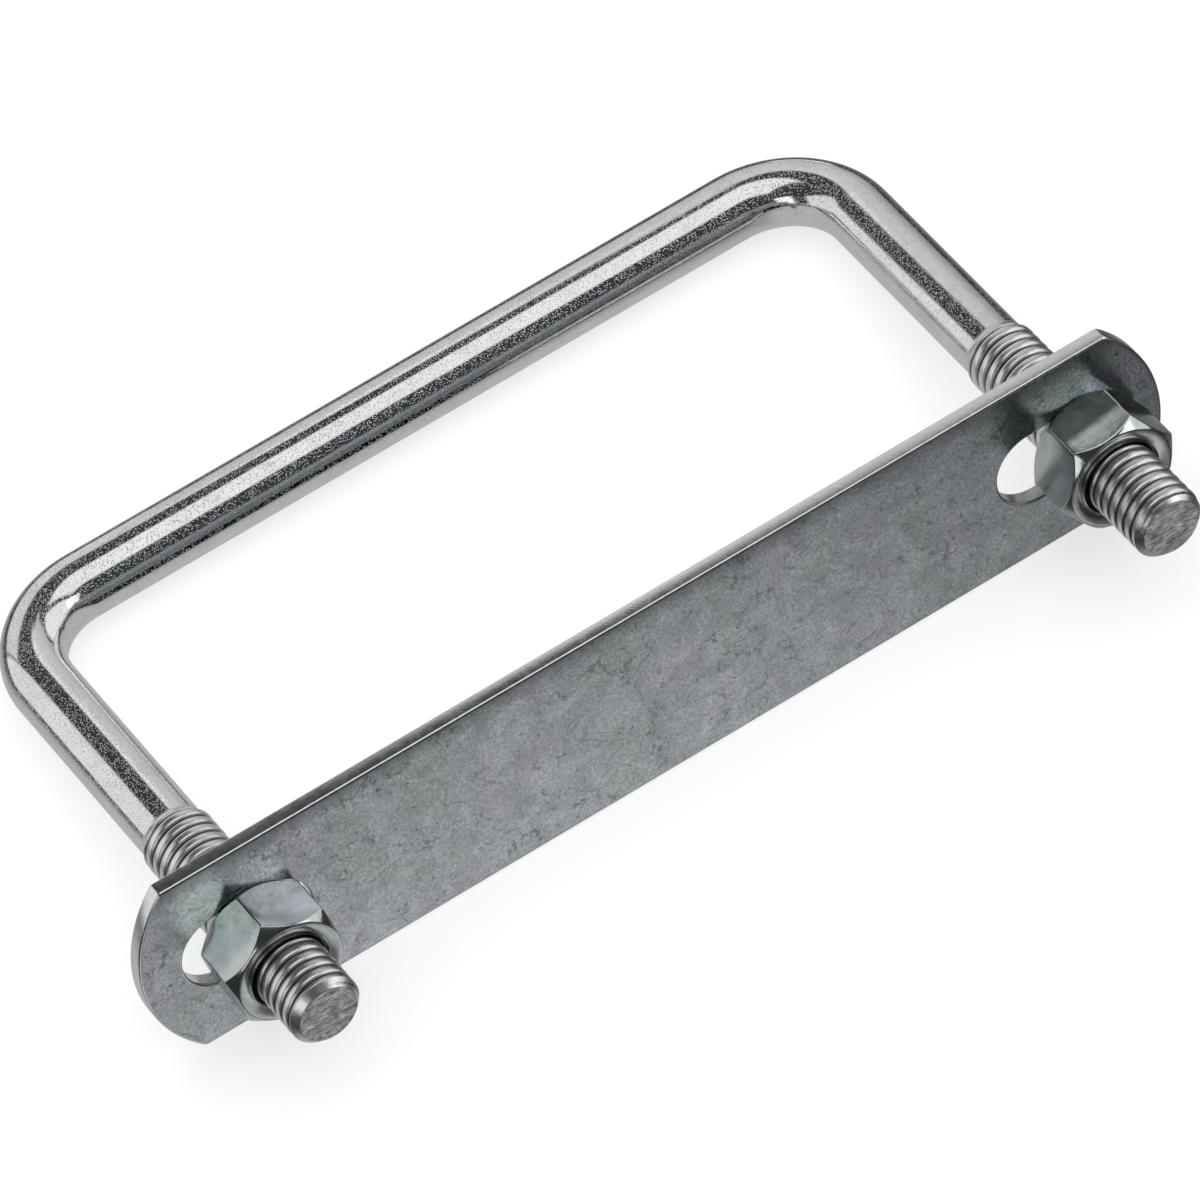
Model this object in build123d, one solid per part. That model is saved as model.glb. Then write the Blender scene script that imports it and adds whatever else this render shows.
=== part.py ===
"""Square-bend U-bolt with a slotted backing plate and two hex nuts.

The parts are modelled in the bolt's own frame: X runs along the crossbar, Y runs from the
plate's inner face towards the crossbar, and Z is square to the plane of the U. The finished
assembly is then tipped about X until it lies as it rests on a bench, on the lower inner edge
of the plate and the underside of the crossbar, with the origin at the bottom centre of its box.
"""
from build123d import *
from math import acos, atan2, cos, degrees, hypot, pi
import os

# U-bolt: one rod with two square bends
ROD_DIAMETER = 8.4
LEG_SPACING = 116.8            # leg axis to leg axis
CROSSBAR_HEIGHT = 59.2         # plate's inner face to the crossbar's axis
BEND_RADIUS = 11.7             # centreline
LEFT_END = 19.0                # plate's inner face to the end of each leg
RIGHT_END = 21.0

# 3/8-16 UNC rolled thread; its crests stand proud of the rod it is rolled on
THREAD_DIAMETER = 9.45
THREAD_START = 16.0            # plate's inner face to the thread's start, on the crossbar's side
RUNOUT = 1.2                   # length of the taper from the thread down to the rod
END_CHAMFER = 0.9

# Backing plate: flat bar with arc-cropped ends and two slots
PLATE_THICKNESS = 2.1
PLATE_WIDTH = 27.2
PLATE_LENGTH = 143.2           # tip to tip of the arcs
PLATE_EDGE_LENGTH = 132.2      # straight long edges
SLOT_WIDTH = 10.4
SLOT_OUTER = 60.8              # plate's centre to the centre of each slot's outer arc
SLOT_INNER = 53.6              # plate's centre to the centre of each slot's inner arc
PLATE_SHIFT = -2.2             # plate's centre from the middle of the legs, along X
PLATE_LIFT = 0.2               # plate's centre above the leg axes, within the slots' play

# 3/8-16 hex nuts
NUT_ACROSS_FLATS = 14.26
NUT_THICKNESS = 8.33
NUT_FACE_DIAMETER = 13.9       # flat ring left by the chamfer on each face
NUT_CHAMFER_RISE = 1.4         # height of the chamfer at the hexagon's corners
NUT_BORE_CLEARANCE = 0.05      # radial
COUNTERSINK = 0.55
NUT_GAP = 0.05                 # between the plate's outer face and each nut
LEFT_NUT_TURN = 100.5          # direction of one corner, from +X towards +Z
RIGHT_NUT_TURN = 126.0

rod_radius = ROD_DIAMETER / 2
thread_radius = THREAD_DIAMETER / 2
half_spacing = LEG_SPACING / 2
half_width = PLATE_WIDTH / 2


def resting_tilt():
    """Angle about X that puts the plate's lower edge and the crossbar on one level."""
    drop = half_width - PLATE_LIFT
    reach = hypot(drop, CROSSBAR_HEIGHT)
    return acos(rod_radius / reach) - atan2(CROSSBAR_HEIGHT, drop)


def leg_axis(x):
    """Plane across a leg at the level of the plate's inner face, facing away from the crossbar."""
    return Plane(origin=(x, 0, 0), x_dir=(1, 0, 0), z_dir=(0, -1, 0))


def threaded_end(x, end):
    """Thread at its crest diameter, with a chamfered end and a tapered run-out onto the rod."""
    full_thread = Plane.XY * Pos(0, 0, -THREAD_START) * Cylinder(
        thread_radius, THREAD_START + end, align=(Align.CENTER, Align.CENTER, Align.MIN))
    tip = full_thread.faces().sort_by(Axis.Z)[-1]
    stud = chamfer(tip.edges(), END_CHAMFER)
    runout = Pos(0, 0, -THREAD_START - RUNOUT) * Cone(
        rod_radius, thread_radius, RUNOUT, align=(Align.CENTER, Align.CENTER, Align.MIN))
    return leg_axis(x) * (stud + runout)


def u_bolt():
    """Rod swept along both legs and the crossbar, plus the two threaded ends."""
    path = FilletPolyline(
        (-half_spacing, THREAD_START, 0),
        (-half_spacing, CROSSBAR_HEIGHT, 0),
        (half_spacing, CROSSBAR_HEIGHT, 0),
        (half_spacing, THREAD_START, 0),
        radius=BEND_RADIUS,
    )
    section = Plane(origin=path @ 0, z_dir=path % 0) * Circle(rod_radius)
    rod = sweep(section, path=path)
    return rod + threaded_end(-half_spacing, LEFT_END) + threaded_end(half_spacing, RIGHT_END)


def plate_outline():
    """Straight long edges joined by one arc at each end."""
    edge = PLATE_EDGE_LENGTH / 2
    tip = PLATE_LENGTH / 2
    lower = Line((-edge, -half_width), (edge, -half_width))
    right_end = ThreePointArc((edge, -half_width), (tip, 0), (edge, half_width))
    upper = Line((edge, half_width), (-edge, half_width))
    left_end = ThreePointArc((-edge, half_width), (-tip, 0), (-edge, -half_width))
    return make_face(lower + right_end + upper + left_end)


def backing_plate():
    """Flat plate with two slots, slightly off centre on the legs."""
    slot_centre = (SLOT_OUTER + SLOT_INNER) / 2
    slot = SlotCenterToCenter(SLOT_OUTER - SLOT_INNER, SLOT_WIDTH)
    profile = plate_outline() - Pos(-slot_centre, 0) * slot - Pos(slot_centre, 0) * slot
    outer_side = Plane(origin=(PLATE_SHIFT, 0, PLATE_LIFT), x_dir=(1, 0, 0), z_dir=(0, -1, 0))
    return outer_side * extrude(profile, PLATE_THICKNESS)


def nut(x, corner_turn):
    """Hex nut chamfered on both faces, with a plain bore countersunk at both ends."""
    corner_radius = NUT_ACROSS_FLATS / 2 / cos(pi / 6)
    prism = extrude(RegularPolygon(corner_radius, 6), NUT_THICKNESS)
    face_radius = NUT_FACE_DIAMETER / 2
    lower_cone = Cone(face_radius, corner_radius, NUT_CHAMFER_RISE,
                      align=(Align.CENTER, Align.CENTER, Align.MIN))
    middle = Pos(0, 0, NUT_CHAMFER_RISE) * Cylinder(
        corner_radius, NUT_THICKNESS - 2 * NUT_CHAMFER_RISE,
        align=(Align.CENTER, Align.CENTER, Align.MIN))
    upper_cone = Pos(0, 0, NUT_THICKNESS - NUT_CHAMFER_RISE) * Cone(
        corner_radius, face_radius, NUT_CHAMFER_RISE,
        align=(Align.CENTER, Align.CENTER, Align.MIN))
    bore_radius = thread_radius + NUT_BORE_CLEARANCE
    bore = Cylinder(bore_radius, NUT_THICKNESS, align=(Align.CENTER, Align.CENTER, Align.MIN))
    mouth = Cone(bore_radius + COUNTERSINK, bore_radius, COUNTERSINK,
                 align=(Align.CENTER, Align.CENTER, Align.MIN))
    far_mouth = Pos(0, 0, NUT_THICKNESS) * Rot(180, 0, 0) * mouth
    body = (prism & (lower_cone + middle + upper_cone)) - bore - mouth - far_mouth
    seat = Pos(0, 0, PLATE_THICKNESS + NUT_GAP) * Rot(0, 0, -corner_turn)
    return leg_axis(x) * seat * body


parts = {
    "u_bolt": u_bolt(),
    "backing_plate": backing_plate(),
    "left_nut": nut(-half_spacing, LEFT_NUT_TURN),
    "right_nut": nut(half_spacing, RIGHT_NUT_TURN),
}

tilt = Rot(-degrees(resting_tilt()), 0, 0)
box = Compound([tilt * shape for shape in parts.values()]).bounding_box()
rest = Pos(-(box.min.X + box.max.X) / 2, -(box.min.Y + box.max.Y) / 2, -box.min.Z) * tilt

os.makedirs("parts", exist_ok=True)
for name, shape in parts.items():
    export_step(rest * shape, f"parts/{name}.step")

print("tilt", round(degrees(resting_tilt()), 4), "box", box.size)
print("plate centre at", (rest * Pos(PLATE_SHIFT, 0, PLATE_LIFT)).position)
for side, x in (("left", -half_spacing), ("right", half_spacing)):
    print(side, "leg axis meets the plate's inner face at", (rest * Pos(x, 0, 0)).position)
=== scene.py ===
"""Square-bend U-bolt, slotted backing plate and two hex nuts, lying on a bench.

Shapes are made in the bolt's own frame in millimetres: X runs along the crossbar, Y from the
plate's inner face towards the crossbar, and Z is square to the plane of the U. One matrix puts
them in the row frame, in metres.
"""
from math import acos, atan2, cos, hypot, pi, radians, sin, tan, tau

import bpy
import bmesh
import numpy as np
from mathutils import Matrix, Vector
from mathutils.geometry import tessellate_polygon


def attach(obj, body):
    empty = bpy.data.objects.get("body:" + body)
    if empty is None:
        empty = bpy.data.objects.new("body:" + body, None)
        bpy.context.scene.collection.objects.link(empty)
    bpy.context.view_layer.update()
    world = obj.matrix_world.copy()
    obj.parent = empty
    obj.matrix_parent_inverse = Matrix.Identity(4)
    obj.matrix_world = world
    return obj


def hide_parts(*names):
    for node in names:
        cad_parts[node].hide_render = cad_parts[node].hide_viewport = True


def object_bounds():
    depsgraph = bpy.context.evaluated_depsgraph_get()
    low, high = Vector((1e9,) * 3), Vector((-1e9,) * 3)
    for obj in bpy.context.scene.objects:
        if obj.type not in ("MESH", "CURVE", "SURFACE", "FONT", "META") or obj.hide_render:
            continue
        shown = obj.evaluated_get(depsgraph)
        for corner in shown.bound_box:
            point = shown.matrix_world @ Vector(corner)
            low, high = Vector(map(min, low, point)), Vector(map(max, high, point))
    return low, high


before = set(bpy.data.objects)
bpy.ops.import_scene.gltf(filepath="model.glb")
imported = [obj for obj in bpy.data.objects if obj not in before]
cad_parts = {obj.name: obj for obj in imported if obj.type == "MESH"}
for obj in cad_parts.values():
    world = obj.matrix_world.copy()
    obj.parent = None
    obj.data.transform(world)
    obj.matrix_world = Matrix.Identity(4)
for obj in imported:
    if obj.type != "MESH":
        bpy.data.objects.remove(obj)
cad_low, cad_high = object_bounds()

# Sizes, as in the CAD
ROD_RADIUS = 4.2
LEG_SPACING = 116.8
CROSSBAR_HEIGHT = 59.2
BEND_RADIUS = 11.7
LEFT_END = 19.0
RIGHT_END = 21.0
THREAD_RADIUS = 4.725
THREAD_PITCH = 25.4 / 16
THREAD_START = 16.0
RUNOUT = 1.2
END_CHAMFER = 0.9
PLATE_THICKNESS = 2.1
PLATE_WIDTH = 27.2
PLATE_LENGTH = 143.2
PLATE_EDGE_LENGTH = 132.2
SLOT_WIDTH = 10.4
SLOT_OUTER = 60.8
SLOT_INNER = 53.6
PLATE_SHIFT = -2.2
PLATE_LIFT = 0.2
NUT_ACROSS_FLATS = 14.26
NUT_THICKNESS = 8.33
NUT_FACE_RADIUS = 6.95
NUT_CHAMFER_RISE = 1.4
NUT_BORE_RADIUS = 4.775
COUNTERSINK = 0.55
NUT_GAP = 0.05
LEFT_NUT_TURN = 100.5
RIGHT_NUT_TURN = 126.0

# Thread profile, finer than the CAD's plain cylinder
THREAD_ROOT_RADIUS = 3.98
CREST_FULLNESS = 3.6               # higher is a broader, flatter crest
GROOVE_BREADTH = 0.75              # lower is a narrower, steeper groove
THREAD_PHASE = 0.37                # turns; brings a groove close to both studs' chamfers
GROOVE_FADE_START = 0.9            # pitches before the thread's start
GROOVE_FADE_LENGTH = 1.5           # pitches
RUNOUT_MARGIN = 0.2                # at both ends of the run-out
NUT_THREAD_CLEARANCE = 0.07        # radial
NUT_THREAD_PLAY = 0.09             # along the axis, each way

# Flats that the bending die pressed into the inner sides of the bends
DIE_FLAT_DEPTH = 0.27
DIE_FLAT_FADE = 0.3                # share of the bend over which each end fades out
DIE_RIDGE_HEIGHT = 0.12            # low ridge left across the middle of each flat
DIE_RIDGE_WIDTH = 0.035            # share of the bend

# Rounded edges and corners
HEX_CORNER_RADIUS = 0.35
NUT_EDGE_CUT = 0.14                # length that each rounded edge takes from its two sides
PLATE_CORNER_RADIUS = 0.8
PLATE_ROLLOVER = 0.34              # outer edges, rolled over when the plate was sheared
PLATE_INNER_RADIUS = 0.16
PLATE_FACE_MARGIN = 0.06           # flat rim kept beside each rounded edge

# Cup that the shears left in each end of the rod
CUP_RIM = 0.12
CUP_DEPTH = 0.1

# Darker strip along the plate's top edge, heights in the row frame
DARK_STRIP_FOOT = 24.0
DARK_STRIP_TOP = 27.2

# Fineness of the meshes
RINGS_PER_PITCH = 26
AROUND_ROD = 96
LEG_RINGS = 24
BEND_RINGS = 72
CROSSBAR_RINGS = 88

METRE = 0.001
HALF_SPACING = LEG_SPACING / 2
ROD_ANGLES = np.linspace(0, tau, AROUND_ROD, endpoint=False) - pi / 2    # 0 on the U's outer side


def resting_matrix():
    """From the bolt's frame in millimetres to the row frame in metres."""
    drop = PLATE_WIDTH / 2 - PLATE_LIFT
    reach = hypot(drop, CROSSBAR_HEIGHT)
    tilt = acos(ROD_RADIUS / reach) - atan2(CROSSBAR_HEIGHT, drop)
    far_side = (CROSSBAR_HEIGHT * cos(tilt) + ROD_RADIUS) * METRE
    place = Matrix.Translation((
        -PLATE_SHIFT * METRE,
        cad_high.y - far_side,
        (ROD_RADIUS + CROSSBAR_HEIGHT * sin(tilt)) * METRE,
    ))
    return place @ Matrix.Rotation(-tilt, 4, "X") @ Matrix.Scale(METRE, 4)


RESTING = resting_matrix()


# ---------------------------------------------------------------- mesh helpers

def grid_quads(rings, around, wrap_rings=False):
    """Quads over a grid of rings; the last ring joins the first one if wrap_rings is set."""
    spans = rings if wrap_rings else rings - 1
    ring, step = np.meshgrid(np.arange(spans), np.arange(around), indexing="ij")
    here, following = ring * around, (ring + 1) % rings * around
    beside = (step + 1) % around
    return np.stack(
        [here + step, here + beside, following + beside, following + step], -1
    ).reshape(-1, 4).tolist()


def make_piece(name, points, faces, materials, material_indices, uvs=None):
    """Mesh object in the row frame from points in the bolt's frame, smooth, normals outwards."""
    mesh = bpy.data.meshes.new(name)
    mesh.from_pydata(np.asarray(points, float).tolist(), [], faces)
    if uvs is not None:
        layer = mesh.uv_layers.new(name="lengthwise")
        corners = np.zeros(len(mesh.loops), np.int32)
        mesh.loops.foreach_get("vertex_index", corners)
        layer.data.foreach_set("uv", np.asarray(uvs, np.float32)[corners].ravel())
    mesh.polygons.foreach_set("material_index", material_indices)
    mesh.transform(RESTING)
    editable = bmesh.new()
    editable.from_mesh(mesh)
    bmesh.ops.recalc_face_normals(editable, faces=editable.faces)
    editable.to_mesh(mesh)
    editable.free()
    mesh.shade_smooth()
    piece = bpy.data.objects.new(name, mesh)
    for material in materials:
        mesh.materials.append(material)
    bpy.context.scene.collection.objects.link(piece)
    return piece


def smoothstep(value):
    """Eases from 0 to 1 while the value goes from 0 to 1."""
    value = np.clip(value, 0, 1)
    return value * value * (3 - 2 * value)


# ---------------------------------------------------------------- thread

def thread_height(along, turn):
    """1 on the crest and 0 in the root of a right-hand thread.

    along runs towards the crossbar, and turn is right-handed about that direction.
    """
    phase = along / THREAD_PITCH - turn / tau + THREAD_PHASE
    from_crest = 2 * np.abs(phase - np.round(phase))
    return (1 - from_crest ** CREST_FULLNESS) ** GROOVE_BREADTH


def stud_radius(along, turn, end):
    """Threaded leg's radius: run-out onto the plain rod at one end, chamfer at the other."""
    past_start = along - THREAD_START
    groove_end = smoothstep((past_start / THREAD_PITCH + GROOVE_FADE_START) / GROOVE_FADE_LENGTH)
    crest_end = smoothstep((past_start + RUNOUT_MARGIN) / (RUNOUT + RUNOUT_MARGIN))
    root = THREAD_ROOT_RADIUS + (ROD_RADIUS - THREAD_ROOT_RADIUS) * groove_end
    crest = THREAD_RADIUS + (ROD_RADIUS - THREAD_RADIUS) * crest_end
    radius = root + (crest - root) * thread_height(along, turn)
    chamfer_cone = THREAD_RADIUS - END_CHAMFER + (along + end)
    return np.minimum(radius, chamfer_cone)


# ---------------------------------------------------------------- U-bolt

def die_flat_depth(bend_share):
    """Depth of the flat at a place along a bend, where bend_share runs from 0 to 1."""
    fade = smoothstep(bend_share / DIE_FLAT_FADE) * smoothstep((1 - bend_share) / DIE_FLAT_FADE)
    ridge = np.exp(-(((bend_share - 0.5) / DIE_RIDGE_WIDTH) ** 2))
    return (DIE_FLAT_DEPTH - DIE_RIDGE_HEIGHT * ridge) * fade


def pressed_radius(bend_share):
    """Radius at ROD_ANGLES in a bend: a soft minimum of the round rod and the die's flat."""
    depth = die_flat_depth(bend_share)
    from_inner = np.abs(np.abs(ROD_ANGLES) - pi)
    # 0.2 keeps the flat finite away from the inner side, and 0.001 the softness above zero
    flat = (ROD_RADIUS - depth) / np.maximum(np.cos(from_inner), 0.2)
    softness = 0.4 * depth + 0.001
    return -softness * np.logaddexp(-ROD_RADIUS / softness, -flat / softness)


def leg_rings(side, end):
    """Rings up a leg, from its end to the bend.

    Each ring is its centre, the direction of the U's outer side, its radius and whether it
    is threaded.
    """
    outward = (side, 0)
    turn = np.arctan2(side * np.cos(ROD_ANGLES), np.sin(ROD_ANGLES))
    thread_top = THREAD_START + RUNOUT + RUNOUT_MARGIN
    step = THREAD_PITCH / RINGS_PER_PITCH
    for along in np.arange(0, thread_top + end, step) - end:
        yield (side * HALF_SPACING, along), outward, stud_radius(along, turn, end), True
    for along in np.linspace(thread_top, CROSSBAR_HEIGHT - BEND_RADIUS, LEG_RINGS):
        yield (side * HALF_SPACING, along), outward, ROD_RADIUS, False


def bend_rings(side):
    """Rings round a bend, from the leg to the crossbar."""
    centre_x = side * (HALF_SPACING - BEND_RADIUS)
    centre_y = CROSSBAR_HEIGHT - BEND_RADIUS
    for share in np.linspace(0, 1, BEND_RINGS + 1)[1:]:
        outward = (side * cos(share * pi / 2), sin(share * pi / 2))
        centre = (centre_x + outward[0] * BEND_RADIUS, centre_y + outward[1] * BEND_RADIUS)
        yield centre, outward, pressed_radius(share), False


def crossbar_rings():
    """Rings along the crossbar, between the two bends."""
    reach = HALF_SPACING - BEND_RADIUS
    for x in np.linspace(-reach, reach, CROSSBAR_RINGS + 2)[1:-1]:
        yield (x, CROSSBAR_HEIGHT), (0, 1), ROD_RADIUS, False


def ring_points(centre, outward, radius):
    """Points round a ring at ROD_ANGLES."""
    across = radius * np.cos(ROD_ANGLES)
    return np.stack([
        centre[0] + outward[0] * across,
        centre[1] + outward[1] * across,
        radius * np.sin(ROD_ANGLES),
    ], -1)


def end_face(side, end, ring_start, first):
    """Shallow cupped disc on the end of a leg.

    ring_start is the index of the first point of the leg's end ring, and first is the index
    that the disc's own first point will have. Returns points, UVs and faces.
    """
    edge = THREAD_RADIUS - END_CHAMFER
    cup = ((edge - CUP_RIM, 0.0), (edge - 0.5, 0.5 * CUP_DEPTH), (edge * 0.4, 0.9 * CUP_DEPTH))
    x = side * HALF_SPACING
    points, faces = [], []
    for radius, depth in cup:
        new_start = first + len(points)
        for turn in ROD_ANGLES:
            points.append((x + side * radius * cos(turn), -end + depth, radius * sin(turn)))
        for step in range(AROUND_ROD):
            beside = (step + 1) % AROUND_ROD
            faces.append([ring_start + step, ring_start + beside,
                          new_start + beside, new_start + step])
        ring_start = new_start
    centre = first + len(points)
    points.append((x, -end + CUP_DEPTH, 0.0))
    for step in range(AROUND_ROD):
        faces.append([ring_start + step, ring_start + (step + 1) % AROUND_ROD, centre])
    points = np.array(points)
    return points, points[:, [0, 2]], faces


def u_bolt_piece(materials):
    """The rod in one run from the left leg's end to the right leg's end, with both end faces.

    The materials are those of the plain rod, the threads and the end faces.
    """
    left = [*leg_rings(-1, LEFT_END), *bend_rings(-1)]
    right = [*leg_rings(1, RIGHT_END), *bend_rings(1)]
    run = [*left, *crossbar_rings(), *reversed(right)]

    points, uvs = [], []
    travelled = 0.0
    previous = run[0][0]
    for centre, outward, radius, _ in run:
        travelled += hypot(centre[0] - previous[0], centre[1] - previous[1])
        previous = centre
        points.append(ring_points(centre, outward, radius))
        uvs.append(np.stack([np.full_like(ROD_ANGLES, travelled), ROD_ANGLES * ROD_RADIUS], -1))
    faces = grid_quads(len(run), AROUND_ROD)
    threaded = [ring[3] for ring in run]
    indices = [
        int(here or following)
        for here, following in zip(threaded, threaded[1:])
        for _ in range(AROUND_ROD)
    ]

    first = len(run) * AROUND_ROD
    for side, end, ring_start in ((-1, LEFT_END, 0), (1, RIGHT_END, first - AROUND_ROD)):
        disc_points, disc_uvs, disc_faces = end_face(side, end, ring_start, first)
        points.append(disc_points)
        uvs.append(disc_uvs)
        faces += disc_faces
        indices += [2] * len(disc_faces)
        first += len(disc_points)
    return make_piece("square_u_bolt", np.concatenate(points), faces, materials, indices,
                      np.concatenate(uvs))


# ---------------------------------------------------------------- plate

def plate_loop():
    """Points and outward normals of the plate's outline, corners slightly rounded.

    One quarter is made from the middle of the top edge to the right tip, and then mirrored.
    """
    half_width, tip = PLATE_WIDTH / 2, PLATE_LENGTH / 2
    sagitta = tip - PLATE_EDGE_LENGTH / 2
    arc_radius = (half_width ** 2 + sagitta ** 2) / (2 * sagitta)
    arc_centre = tip - arc_radius
    fillet_z = half_width - PLATE_CORNER_RADIUS
    fillet_x = arc_centre + ((arc_radius - PLATE_CORNER_RADIUS) ** 2 - fillet_z ** 2) ** 0.5
    meets_arc = atan2(fillet_z, fillet_x - arc_centre)
    quarter = []
    for x in np.linspace(0, fillet_x, 34)[1:-1]:
        quarter.append((x, half_width, 0.0, 1.0))
    for turn in np.linspace(pi / 2, meets_arc, 7):
        quarter.append((fillet_x + PLATE_CORNER_RADIUS * cos(turn),
                        fillet_z + PLATE_CORNER_RADIUS * sin(turn), cos(turn), sin(turn)))
    for turn in np.linspace(meets_arc, 0, 30)[1:]:
        quarter.append((arc_centre + arc_radius * cos(turn), arc_radius * sin(turn),
                        cos(turn), sin(turn)))
    top_right = np.array(quarter)
    bottom_right = (top_right * (1, -1, 1, -1))[::-1][1:]
    bottom_left = top_right * (-1, -1, -1, -1)
    top_left = (top_right * (-1, 1, -1, 1))[::-1][1:]
    return np.concatenate([top_right, bottom_right, bottom_left, top_left])


def slot_loop(side):
    """Points of a slot's edge and the normals that point into the slot."""
    middle = side * (SLOT_OUTER + SLOT_INNER) / 2
    reach = (SLOT_OUTER - SLOT_INNER) / 2
    radius = SLOT_WIDTH / 2
    loop = []
    for centre, start in ((reach, -pi / 2), (-reach, pi / 2)):
        for turn in np.linspace(start, start + pi, 33):
            loop.append((middle + centre + radius * cos(turn), radius * sin(turn),
                         -cos(turn), -sin(turn)))
    return np.array(loop)


def edge_profile():
    """Inset and depth of points over the plate's edge, from the outer face to the inner one."""
    profile = [(PLATE_ROLLOVER + PLATE_FACE_MARGIN, PLATE_THICKNESS)]
    for turn in np.linspace(0, pi / 2, 7):
        profile.append((PLATE_ROLLOVER * (1 - sin(turn)),
                        PLATE_THICKNESS - PLATE_ROLLOVER * (1 - cos(turn))))
    for turn in np.linspace(0, pi / 2, 5):
        profile.append((PLATE_INNER_RADIUS * (1 - cos(turn)),
                        PLATE_INNER_RADIUS * (1 - sin(turn))))
    profile.append((PLATE_INNER_RADIUS + PLATE_FACE_MARGIN, 0.0))
    return profile


def plate_piece(materials):
    """Plate with rolled-over outer edges and a small radius on the inner ones.

    The materials are those of the two faces and of the edges.
    """
    profile = edge_profile()
    points, faces, indices = [], [], []
    outer_rims, inner_rims = [], []
    for loop in (plate_loop(), slot_loop(-1), slot_loop(1)):
        count, start = len(loop), len(points)
        for inset, depth in profile:
            for x, z, normal_x, normal_z in loop:
                points.append((PLATE_SHIFT + x - inset * normal_x, -depth,
                               PLATE_LIFT + z - inset * normal_z))
        quads = grid_quads(len(profile), count)
        faces += [[start + corner for corner in quad] for quad in quads]
        indices += np.repeat([0] + [1] * (len(profile) - 3) + [0], count).tolist()
        last = start + (len(profile) - 1) * count
        outer_rims.append(range(start, start + count))
        inner_rims.append(range(last, last + count))
    for rims in (outer_rims, inner_rims):
        numbers = [number for rim in rims for number in rim]
        flat = [[Vector((points[number][0], points[number][2], 0)) for number in rim]
                for rim in rims]
        for triangle in tessellate_polygon(flat):
            faces.append([numbers[corner] for corner in triangle])
            indices.append(0)
    return make_piece("slotted_backing_bar", points, faces, materials, indices)


# ---------------------------------------------------------------- nuts

def hexagon_outline(corner_turn):
    """Turn about the leg axis and radius of points round a hexagon with rounded corners."""
    apothem = NUT_ACROSS_FLATS / 2
    corner_centre = (apothem - HEX_CORNER_RADIUS) / cos(pi / 6)
    outline = []
    for side in range(6):
        corner = side * pi / 3
        for bend in np.linspace(-pi / 6, pi / 6, 6):
            along = corner_centre + HEX_CORNER_RADIUS * cos(bend)
            across = HEX_CORNER_RADIUS * sin(bend)
            outline.append((corner + atan2(across, along), hypot(along, across)))
        next_flat = outline[-1][0] - corner
        for turn in np.linspace(next_flat, pi / 3 - next_flat, 12)[1:-1]:
            outline.append((corner + turn, apothem / cos(turn - pi / 6)))
    outline = np.array(outline)
    return corner_turn - outline[:, 0], outline[:, 1]


def rounded_profile(stations, cut, steps=4, largest_share=0.45):
    """Rounds a profile at all its stations but the first and last.

    Each station is (radius array, depth array). A rounding takes the cut from both its sides,
    or the largest share of a side that is too short for it.
    """
    rounded = [stations[0]]
    for before, at, after in zip(stations, stations[1:], stations[2:]):
        before, at, after = np.array(before), np.array(at), np.array(after)
        to_before, to_after = before - at, after - at
        length_before = np.maximum(np.hypot(*to_before), 1e-6)
        length_after = np.maximum(np.hypot(*to_after), 1e-6)
        start = at + to_before * np.minimum(cut / length_before, largest_share)
        end = at + to_after * np.minimum(cut / length_after, largest_share)
        for share in np.linspace(0, 1, steps):
            rounded.append(tuple(
                (1 - share) ** 2 * start + 2 * share * (1 - share) * at + share ** 2 * end))
    rounded.append(stations[-1])
    return rounded


def nut_piece(name, x, corner_degrees, materials):
    """Hex nut with a chamfer on both faces and a threaded, countersunk bore.

    The materials are those of the outside and of the bore.
    """
    turn, hexagon = hexagon_outline(radians(90 - corner_degrees))
    level = np.ones_like(hexagon)
    widest = NUT_ACROSS_FLATS / 2 / cos(pi / 6)
    rise = NUT_CHAMFER_RISE * (hexagon - NUT_FACE_RADIUS) / (widest - NUT_FACE_RADIUS)
    mouth = NUT_BORE_RADIUS + COUNTERSINK
    outside = rounded_profile([
        (level * mouth, level * 0),
        (level * NUT_FACE_RADIUS, level * 0),
        (hexagon, rise),
        (hexagon, NUT_THICKNESS - rise),
        (level * NUT_FACE_RADIUS, level * NUT_THICKNESS),
        (level * mouth, level * NUT_THICKNESS),
    ], cut=NUT_EDGE_CUT)
    seat = -(PLATE_THICKNESS + NUT_GAP)
    rings = [(radius, seat - depth) for radius, depth in outside]
    kinds = [0] * (len(rings) - 1) + [1]
    bore_rings = int(NUT_THICKNESS / THREAD_PITCH * RINGS_PER_PITCH)
    for depth in np.linspace(NUT_THICKNESS, 0, bore_rings + 2)[1:-1]:
        along = seat - depth
        height = np.maximum(thread_height(along - NUT_THREAD_PLAY, turn),
                            thread_height(along + NUT_THREAD_PLAY, turn))
        radius = THREAD_ROOT_RADIUS + (THREAD_RADIUS - THREAD_ROOT_RADIUS) * height
        from_face = min(depth, NUT_THICKNESS - depth)
        radius = np.maximum(radius + NUT_THREAD_CLEARANCE, mouth - from_face)
        rings.append((radius, level * along))
        kinds.append(1)
    points = np.concatenate([
        np.stack([x + radius * np.sin(turn), along, radius * np.cos(turn)], -1)
        for radius, along in rings
    ])
    faces = grid_quads(len(rings), len(turn), wrap_rings=True)
    indices = np.repeat(kinds, len(turn))
    return make_piece(name, points, faces, materials, indices)


# ---------------------------------------------------------------- materials

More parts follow.
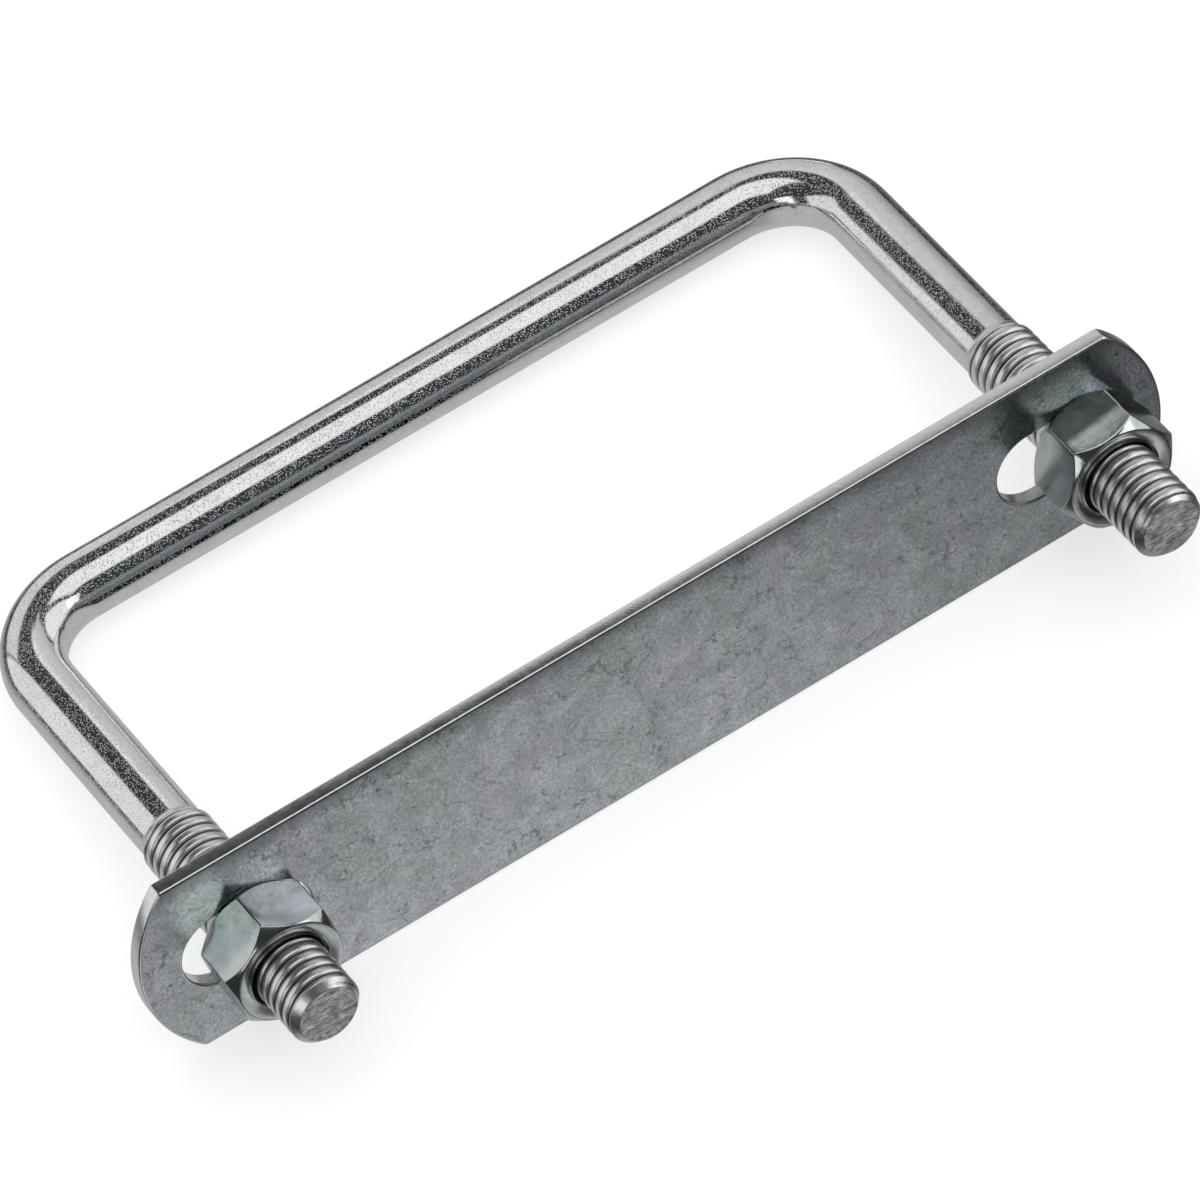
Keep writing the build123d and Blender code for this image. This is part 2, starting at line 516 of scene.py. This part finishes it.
class Metal:
    """A metal's node tree, with short calls for the nodes it is made of."""

    def __init__(self, name):
        self.material = bpy.data.materials.new(name)
        self.material.use_nodes = True
        self.nodes = self.material.node_tree.nodes
        self.links = self.material.node_tree.links
        self.shader = self.nodes["Principled BSDF"]
        self.shader.inputs["Metallic"].default_value = 1.0
        coordinates = self.nodes.new("ShaderNodeTexCoord")
        self.solid = self.scaled(coordinates.outputs["Object"], 1 / METRE)
        self.lengthwise = coordinates.outputs["UV"]

    def scaled(self, vector, factor):
        node = self.nodes.new("ShaderNodeVectorMath")
        node.operation = "SCALE"
        self.links.new(vector, node.inputs[0])
        node.inputs["Scale"].default_value = factor
        return node.outputs[0]

    def stretched(self, vector, factors):
        node = self.nodes.new("ShaderNodeMapping")
        self.links.new(vector, node.inputs["Vector"])
        node.inputs["Scale"].default_value = factors
        return node.outputs[0]

    def noise(self, vector, scale, detail=3, roughness=0.55, distortion=0.0):
        node = self.nodes.new("ShaderNodeTexNoise")
        self.links.new(vector, node.inputs["Vector"])
        node.inputs["Scale"].default_value = scale
        node.inputs["Detail"].default_value = detail
        node.inputs["Roughness"].default_value = roughness
        node.inputs["Distortion"].default_value = distortion
        return node.outputs["Fac"]

    def cells(self, vector, scale):
        """Distance to the nearest of many scattered points, in cells."""
        node = self.nodes.new("ShaderNodeTexVoronoi")
        self.links.new(vector, node.inputs["Vector"])
        node.inputs["Scale"].default_value = scale
        return node.outputs["Distance"]

    def ramp(self, factor, *stops):
        """Colour ramp through (position, colour) stops; a plain number is a grey."""
        node = self.nodes.new("ShaderNodeValToRGB")
        elements = node.color_ramp.elements
        while len(elements) < len(stops):
            elements.new(0.5)
        for element, (position, colour) in zip(elements, stops):
            element.position = position
            grey = isinstance(colour, (int, float))
            element.color = (colour, colour, colour, 1) if grey else (*colour, 1)
        self.links.new(factor, node.inputs["Fac"])
        return node.outputs["Color"]

    def mix(self, factor, first, second, blend="MIX"):
        node = self.nodes.new("ShaderNodeMix")
        node.data_type = "RGBA"
        node.blend_type = blend
        for socket, value in ((0, factor), (6, first), (7, second)):
            if isinstance(value, bpy.types.NodeSocket):
                self.links.new(value, node.inputs[socket])
            elif socket:
                node.inputs[socket].default_value = (*value, 1)
            else:
                node.inputs[socket].default_value = value
        return node.outputs[2]

    def shaded(self, colour, shade):
        """The colour multiplied by a shade."""
        return self.mix(1.0, colour, shade, "MULTIPLY")

    def height_share(self, low, high):
        """0 below one height and 1 above another, in millimetres in the row frame."""
        split = self.nodes.new("ShaderNodeSeparateXYZ")
        self.links.new(self.solid, split.inputs[0])
        node = self.nodes.new("ShaderNodeMapRange")
        self.links.new(split.outputs["Z"], node.inputs["Value"])
        node.inputs["From Min"].default_value = low
        node.inputs["From Max"].default_value = high
        return node.outputs["Result"]

    def openness(self, distance):
        """1 on open surfaces, falling towards 0 in crevices narrower than the distance."""
        node = self.nodes.new("ShaderNodeAmbientOcclusion")
        node.inputs["Distance"].default_value = distance * METRE
        return node.outputs["AO"]

    def colour(self, value):
        self.links.new(value, self.shader.inputs["Base Color"])

    def roughness(self, value):
        self.links.new(value, self.shader.inputs["Roughness"])

    def bumps(self, *layers):
        """Chains bump nodes from (height, depth in millimetres) layers."""
        normal = None
        for height, depth in layers:
            node = self.nodes.new("ShaderNodeBump")
            node.inputs["Distance"].default_value = depth * METRE
            self.links.new(height, node.inputs["Height"])
            if normal is not None:
                self.links.new(normal, node.inputs["Normal"])
            normal = node.outputs["Normal"]
        self.links.new(normal, self.shader.inputs["Normal"])


def bright_zinc():
    """Bright zinc on drawn rod: glossy, finely pitted, with faint lengthwise drawing lines."""
    metal = Metal("bright_zinc_rod")
    patches = metal.noise(metal.solid, 0.35, 3)
    metal.colour(metal.ramp(patches, (0.3, (0.78, 0.79, 0.8)), (0.7, (0.87, 0.875, 0.88))))
    cloud = metal.noise(metal.solid, 1.1, 4, 0.65)
    metal.roughness(metal.ramp(cloud, (0.3, 0.08), (0.7, 0.15)))
    lines = metal.noise(metal.stretched(metal.lengthwise, (0.12, 3.2, 1)), 1.0, 3)
    pits = metal.ramp(metal.cells(metal.solid, 4.8), (0.08, 0.0), (0.36, 1.0))
    fine = metal.noise(metal.solid, 6.5, 1, 0.5)
    metal.bumps((lines, 0.003), (pits, 0.022), (fine, 0.002))
    return metal.material


def thread_zinc():
    """Mottled zinc on the rolled threads, with painted shade darkening the grooves."""
    metal = Metal("zinc_thread")
    patches = metal.noise(metal.solid, 1.4, 4, 0.65)
    tint = metal.ramp(patches, (0.3, (0.74, 0.745, 0.74)), (0.7, (0.9, 0.905, 0.89)))
    # painted shade: ambient occlusion darkens the base colour in the thread's grooves
    painted_groove_shade = metal.ramp(metal.openness(0.9), (0.45, 0.22), (0.85, 1.0))
    metal.colour(metal.shaded(tint, painted_groove_shade))
    metal.roughness(metal.ramp(patches, (0.3, 0.26), (0.7, 0.38)))
    lumps = metal.noise(metal.solid, 2.2, 3, 0.6)
    grain = metal.noise(metal.solid, 6.0, 2, 0.5)
    metal.bumps((lumps, 0.008), (grain, 0.005))
    return metal.material


def sheared_zinc():
    """Sheared end of the rod: dull, with the blade's drag lines."""
    metal = Metal("zinc_sheared_end")
    drag = metal.noise(metal.stretched(metal.solid, (0.4, 3.0, 2.2)), 1.5, 5, 0.7, 0.9)
    blotches = metal.noise(metal.solid, 0.9, 4, 0.65)
    tint = metal.ramp(drag, (0.4, (0.24, 0.25, 0.25)), (0.56, (0.76, 0.77, 0.77)))
    metal.colour(metal.shaded(tint, metal.ramp(blotches, (0.35, 0.6), (0.65, 1.2))))
    metal.roughness(metal.ramp(drag, (0.3, 0.38), (0.7, 0.55)))
    metal.bumps((drag, 0.16))
    return metal.material


def plate_zinc():
    """Dull blue-grey zinc with faint green and violet clouds, dark specks and scratches.

    A strip below the top edge is darker.
    """
    metal = Metal("dull_zinc_plate")
    clouds = metal.noise(metal.solid, 0.09, 4, 0.55, 0.6)
    tint = metal.ramp(clouds, (0.34, (0.51, 0.575, 0.57)), (0.5, (0.54, 0.58, 0.605)),
                      (0.66, (0.57, 0.58, 0.64)))
    mottle = metal.noise(metal.solid, 2.4, 5, 0.8)
    tint = metal.shaded(tint, metal.ramp(mottle, (0.32, 0.55), (0.68, 1.34)))
    drifts = metal.noise(metal.solid, 0.22, 4, 0.6, 0.8)
    tint = metal.shaded(tint, metal.ramp(drifts, (0.35, 0.85), (0.65, 1.12)))
    specks = metal.noise(metal.solid, 1.9, 2, 0.5, 1.4)
    tint = metal.shaded(tint, metal.ramp(specks, (0.28, 0.3), (0.36, 1.0)))
    wander = metal.noise(metal.solid, 0.16, 4, 0.55, 0.3)
    scratches = metal.ramp(wander, (0.488, 1.0), (0.4995, 0.4), (0.511, 1.0))
    where = metal.ramp(metal.noise(metal.solid, 0.3, 3), (0.46, 0.0), (0.54, 0.9))
    tint = metal.mix(where, tint, metal.shaded(tint, scratches))
    up_strip = metal.height_share(DARK_STRIP_FOOT, DARK_STRIP_TOP)
    tint = metal.shaded(tint, metal.ramp(up_strip, (0.0, 1.0), (0.45, 0.76), (0.9, 0.5)))
    metal.colour(tint)
    metal.roughness(metal.ramp(mottle, (0.3, 0.14), (0.7, 0.25)))
    grain = metal.noise(metal.solid, 4.5, 3, 0.6)
    metal.bumps((mottle, 0.022), (grain, 0.012))
    return metal.material


def plate_edge_zinc():
    """Lighter, smoother zinc on the plate's cut edges."""
    metal = Metal("zinc_plate_edge")
    streaks = metal.noise(metal.solid, 0.8, 4, 0.6)
    metal.colour(metal.ramp(streaks, (0.3, (0.74, 0.74, 0.73)), (0.7, (0.86, 0.86, 0.85))))
    metal.roughness(metal.ramp(streaks, (0.3, 0.18), (0.7, 0.26)))
    metal.bumps((metal.noise(metal.solid, 4.0, 3, 0.6), 0.014))
    return metal.material


def nut_zinc():
    """Satin zinc on the nuts, with a few soft scuffs."""
    metal = Metal("satin_zinc_nut")
    clouds = metal.noise(metal.solid, 0.45, 4, 0.6, 0.4)
    metal.colour(metal.ramp(clouds, (0.32, (0.5, 0.54, 0.53)), (0.68, (0.62, 0.65, 0.64))))
    scuffs = metal.noise(metal.solid, 1.1, 5, 0.7, 0.8)
    metal.roughness(metal.ramp(scuffs, (0.3, 0.12), (0.7, 0.2)))
    metal.bumps((metal.noise(metal.solid, 1.5, 3, 0.6), 0.012),
                (metal.noise(metal.solid, 5.0, 2, 0.5), 0.008))
    return metal.material


# ---------------------------------------------------------------- pieces

thread_finish = thread_zinc()
bolt = u_bolt_piece([bright_zinc(), thread_finish, sheared_zinc()])
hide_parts("u_bolt")
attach(bolt, "u_bolt")

plate = plate_piece([plate_zinc(), plate_edge_zinc()])
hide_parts("backing_plate")
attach(plate, "backing_plate")

nut_finish = [nut_zinc(), thread_finish]
for side, body, degrees in ((-1, "left_nut", LEFT_NUT_TURN), (1, "right_nut", RIGHT_NUT_TURN)):
    nut = nut_piece("hex_" + body, side * HALF_SPACING, degrees, nut_finish)
    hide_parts(body)
    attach(nut, body)


# ---------------------------------------------------------------- studio

FLOOR_REACH = 30.0                 # metres
SUN_ANGLE = radians(120)           # very soft
END_FILL_HALF_SPREAD = radians(30)


def linked_collection(name, *objects, exclude=False):
    """Collection for light linking: only these objects, or all but these if exclude is set."""
    collection = bpy.data.collections.new(name)
    for item in objects:
        collection.objects.link(item)
    if exclude:
        for entry in collection.collection_objects:
            entry.light_linking.link_state = "EXCLUDE"
    return collection


def stage_mesh(name, corners, material):
    """Flat stage polygon through corners in metres."""
    mesh = bpy.data.meshes.new(name)
    mesh.from_pydata(corners, [], [tuple(range(len(corners)))])
    mesh.materials.append(material)
    item = bpy.data.objects.new(name, mesh)
    bpy.context.scene.collection.objects.link(item)
    return item


def make_floor():
    """Pale floor that the metal doesn't reflect: it reflects the lit card below instead."""
    material = bpy.data.materials.new("pale_floor")
    material.use_nodes = True
    shader = material.node_tree.nodes["Principled BSDF"]
    shader.inputs["Base Color"].default_value = (0.86, 0.86, 0.86, 1)
    shader.inputs["Roughness"].default_value = 0.9
    shader.inputs["Specular IOR Level"].default_value = 0.0
    corners = [(x * FLOOR_REACH, y * FLOOR_REACH, 0)
               for x, y in ((-1, -1), (1, -1), (1, 1), (-1, 1))]
    floor = stage_mesh("floor", corners, material)
    floor.visible_glossy = False
    floor.visible_shadow = False
    return floor


def glowing(name, location, scale, stops):
    """Emission that falls off round a location; stops are (distance share, radiance)."""
    material = bpy.data.materials.new(name)
    material.use_nodes = True
    nodes, links = material.node_tree.nodes, material.node_tree.links
    nodes.clear()
    coordinates = nodes.new("ShaderNodeTexCoord")
    place = nodes.new("ShaderNodeMapping")
    place.vector_type = "TEXTURE"
    place.inputs["Location"].default_value = location
    place.inputs["Scale"].default_value = scale
    gradient = nodes.new("ShaderNodeTexGradient")
    gradient.gradient_type = "SPHERICAL"
    ramp = nodes.new("ShaderNodeValToRGB")
    while len(ramp.color_ramp.elements) < len(stops):
        ramp.color_ramp.elements.new(0.5)
    for element, (share, radiance) in zip(ramp.color_ramp.elements, reversed(stops)):
        element.position = 1 - share
        element.color = (radiance, radiance, radiance, 1)
    emission = nodes.new("ShaderNodeEmission")
    output = nodes.new("ShaderNodeOutputMaterial")
    links.new(coordinates.outputs["Object"], place.inputs["Vector"])
    links.new(place.outputs[0], gradient.inputs["Vector"])
    links.new(gradient.outputs["Fac"], ramp.inputs["Fac"])
    links.new(ramp.outputs["Color"], emission.inputs["Color"])
    links.new(emission.outputs[0], output.inputs["Surface"])
    return material


def lit_card(name, corners, middle, scale, stops, receivers):
    """Glowing polygon that the camera doesn't see and that lights only the receivers."""
    card = stage_mesh(name, corners, glowing(name + "_glow", middle, scale, stops))
    card.visible_camera = False
    card.visible_shadow = False
    card.light_linking.receiver_collection = receivers


def lamp_for(light, receivers):
    """Lamp object for a light that lights only the receivers."""
    lamp = bpy.data.objects.new(light.name, light)
    lamp.light_linking.receiver_collection = receivers
    bpy.context.scene.collection.objects.link(lamp)
    return lamp


def spread_solid_angle(half_spread):
    """Effective solid angle that an area light with this half spread shines into."""
    inside = sin(half_spread) ** 2 / 2
    lost = (half_spread / 2 - sin(2 * half_spread) / 4) / tan(half_spread)
    return tau * (inside - lost)


def softbox(name, centre, target, width, height, radiance, receivers, half_spread=pi / 2):
    """Rectangular area light of a given radiance, facing the target; sizes in metres."""
    light = bpy.data.lights.new(name, "AREA")
    light.shape = "RECTANGLE"
    light.size, light.size_y = width, height
    light.spread = 2 * half_spread
    light.energy = radiance * spread_solid_angle(half_spread) * width * height
    lamp = lamp_for(light, receivers)
    lamp.location = centre
    facing = (Vector(target) - Vector(centre)).normalized()
    lamp.rotation_euler = facing.to_track_quat("-Z", "Y").to_euler()
    lamp.visible_camera = False


floor = make_floor()
floor_only = linked_collection("floor_only", floor)
all_but_floor = linked_collection("all_but_floor", floor, exclude=True)

# the first sun gives the floor its faint shadows, the second its whiteness
for name, strength, shadows in (("floor_light", 0.22, True), ("floor_wash", 3.6, False)):
    sun = bpy.data.lights.new(name, "SUN")
    sun.energy = strength
    sun.angle = SUN_ANGLE
    sun.use_shadow = shadows
    lamp_for(sun, floor_only)

# lamps and lit cards that light all the pieces
softbox("overhead", (0.12, -0.04, 0.6), (0.12, -0.04, 0), 0.6, 0.54, 0.93, all_but_floor)
softbox("back_left", (-0.30, 0.167, 0.11), (-0.054, 0.0, 0.11), 0.36, 0.30, 0.80, all_but_floor)
softbox("front_left", (-0.46, -0.36, 0.26), (0, 0, 0), 0.30, 0.30, 1.3, all_but_floor)
softbox("front_right", (0.5, -0.44, 0.38), (0, 0, 0), 0.28, 0.28, 1.3, all_but_floor)
softbox("right_side", (0.36, -0.05, 0.21), (0, -0.05, 0.21), 0.5, 0.38, 0.9, all_but_floor)
softbox("low_back", (-0.084, 0.2585, 0.0475), (-0.158, 0.0735, 0.0475), 0.202, 0.145, 0.7,
        all_but_floor)
softbox("low_strip", (0.17, 0.22, -0.025), (0.17, 0, -0.025), 0.06, 0.02, 1.1, all_but_floor)
lit_card(
    "back_right",
    [(x, 0.221, z) for x, z in ((0.005, -0.015), (0.005, 0.13), (0.065, 0.195), (0.108, 0.222),
                                (0.125, 0.28), (0.33, 0.28), (0.33, -0.015))],
    (0.04, 0.221, 0.17), (0.34, 0.3, 0.26),
    [(0.0, 1.08), (0.09, 0.95), (0.18, 0.76), (0.28, 0.66), (0.6, 0.6), (0.8, 0.45), (1.0, 0.36)],
    all_but_floor,
)
lit_card(
    "under_card",
    [(x, y, -0.04) for x, y in ((-0.24, -0.055), (0.17, -0.055), (0.17, 0.16), (-0.24, 0.16))],
    (-0.04, 0.03, -0.04), (0.21, 0.136, 0.2),
    [(0.0, 0.5), (0.44, 0.5), (0.94, 0.1), (1.0, 0.1)],
    all_but_floor,
)

# lamps and a lit card that light only some of the pieces
nuts = [bpy.data.objects[name] for name in ("hex_left_nut", "hex_right_nut")]
bolt_only = linked_collection("bolt_only", bolt)
nuts_only = linked_collection("nuts_only", *nuts)
plate_only = linked_collection("plate_only", plate)
plate_and_nuts = linked_collection("plate_and_nuts", plate, *nuts)
lit_card(
    "front_fill",
    [(x, -0.173, z) for x, z in ((-0.15, -0.22), (-0.15, -0.03), (0.14, -0.03), (0.14, -0.22))],
    (0.02, -0.173, -0.135), (0.125, 0.2, 0.055),
    [(0.0, 0.72), (0.3, 0.72), (0.6, 0.62), (0.85, 0.44), (1.0, 0.15)],
    plate_and_nuts,
)
softbox("nut_glint", (0.09, 0.225, 0.25), (0.06, -0.025, 0.02), 0.05, 0.07, 0.8, nuts_only)
softbox("low_left_fill", (-0.11, -0.19, -0.0755), (0.06, -0.03, 0.012), 0.14, 0.12, 0.9,
        plate_only)
softbox("front_right_fill", (0.461, -0.485, 0.42), (-0.056, -0.021, 0.03), 0.24, 0.24, 0.5,
        plate_only)
for x, side in ((-0.050, "left"), (0.067, "right")):
    softbox(side + "_end_fill", (x, -0.076, -0.015), (x - 0.006, -0.04, 0.0165), 0.05, 0.05, 2.2,
            bolt_only, END_FILL_HALF_SPREAD)

world = bpy.data.worlds.new("studio")
world.use_nodes = True
world.node_tree.nodes["Background"].inputs["Color"].default_value = (0.038, 0.039, 0.041, 1)
bpy.context.scene.world = world

# ---------------------------------------------------------------- camera

CAMERA_AIM = Vector((1.758, -7.244, 13.0)) * METRE
CAMERA_DISTANCE = 1358.87 * METRE
CAMERA_HEADING = radians(25.025)       # from +Y towards +X
CAMERA_ELEVATION = radians(54.423)
CAMERA_ROLL = radians(9.693)
CAMERA_LENS = 344.56
SENSOR_WIDTH = 36

forward = Vector((
    sin(CAMERA_HEADING) * cos(CAMERA_ELEVATION),
    cos(CAMERA_HEADING) * cos(CAMERA_ELEVATION),
    -sin(CAMERA_ELEVATION),
))
camera_data = bpy.data.cameras.new("camera")
camera_data.lens = CAMERA_LENS
camera_data.sensor_width = SENSOR_WIDTH
camera = bpy.data.objects.new("camera", camera_data)
unrolled = forward.to_track_quat("-Z", "Y").to_matrix()
camera.matrix_world = (
    Matrix.Translation(CAMERA_AIM - forward * CAMERA_DISTANCE)
    @ (unrolled @ Matrix.Rotation(-CAMERA_ROLL, 3, "Z")).to_4x4()
)
bpy.context.scene.collection.objects.link(camera)
bpy.context.scene.camera = camera
bpy.context.scene.view_settings.view_transform = "Standard"
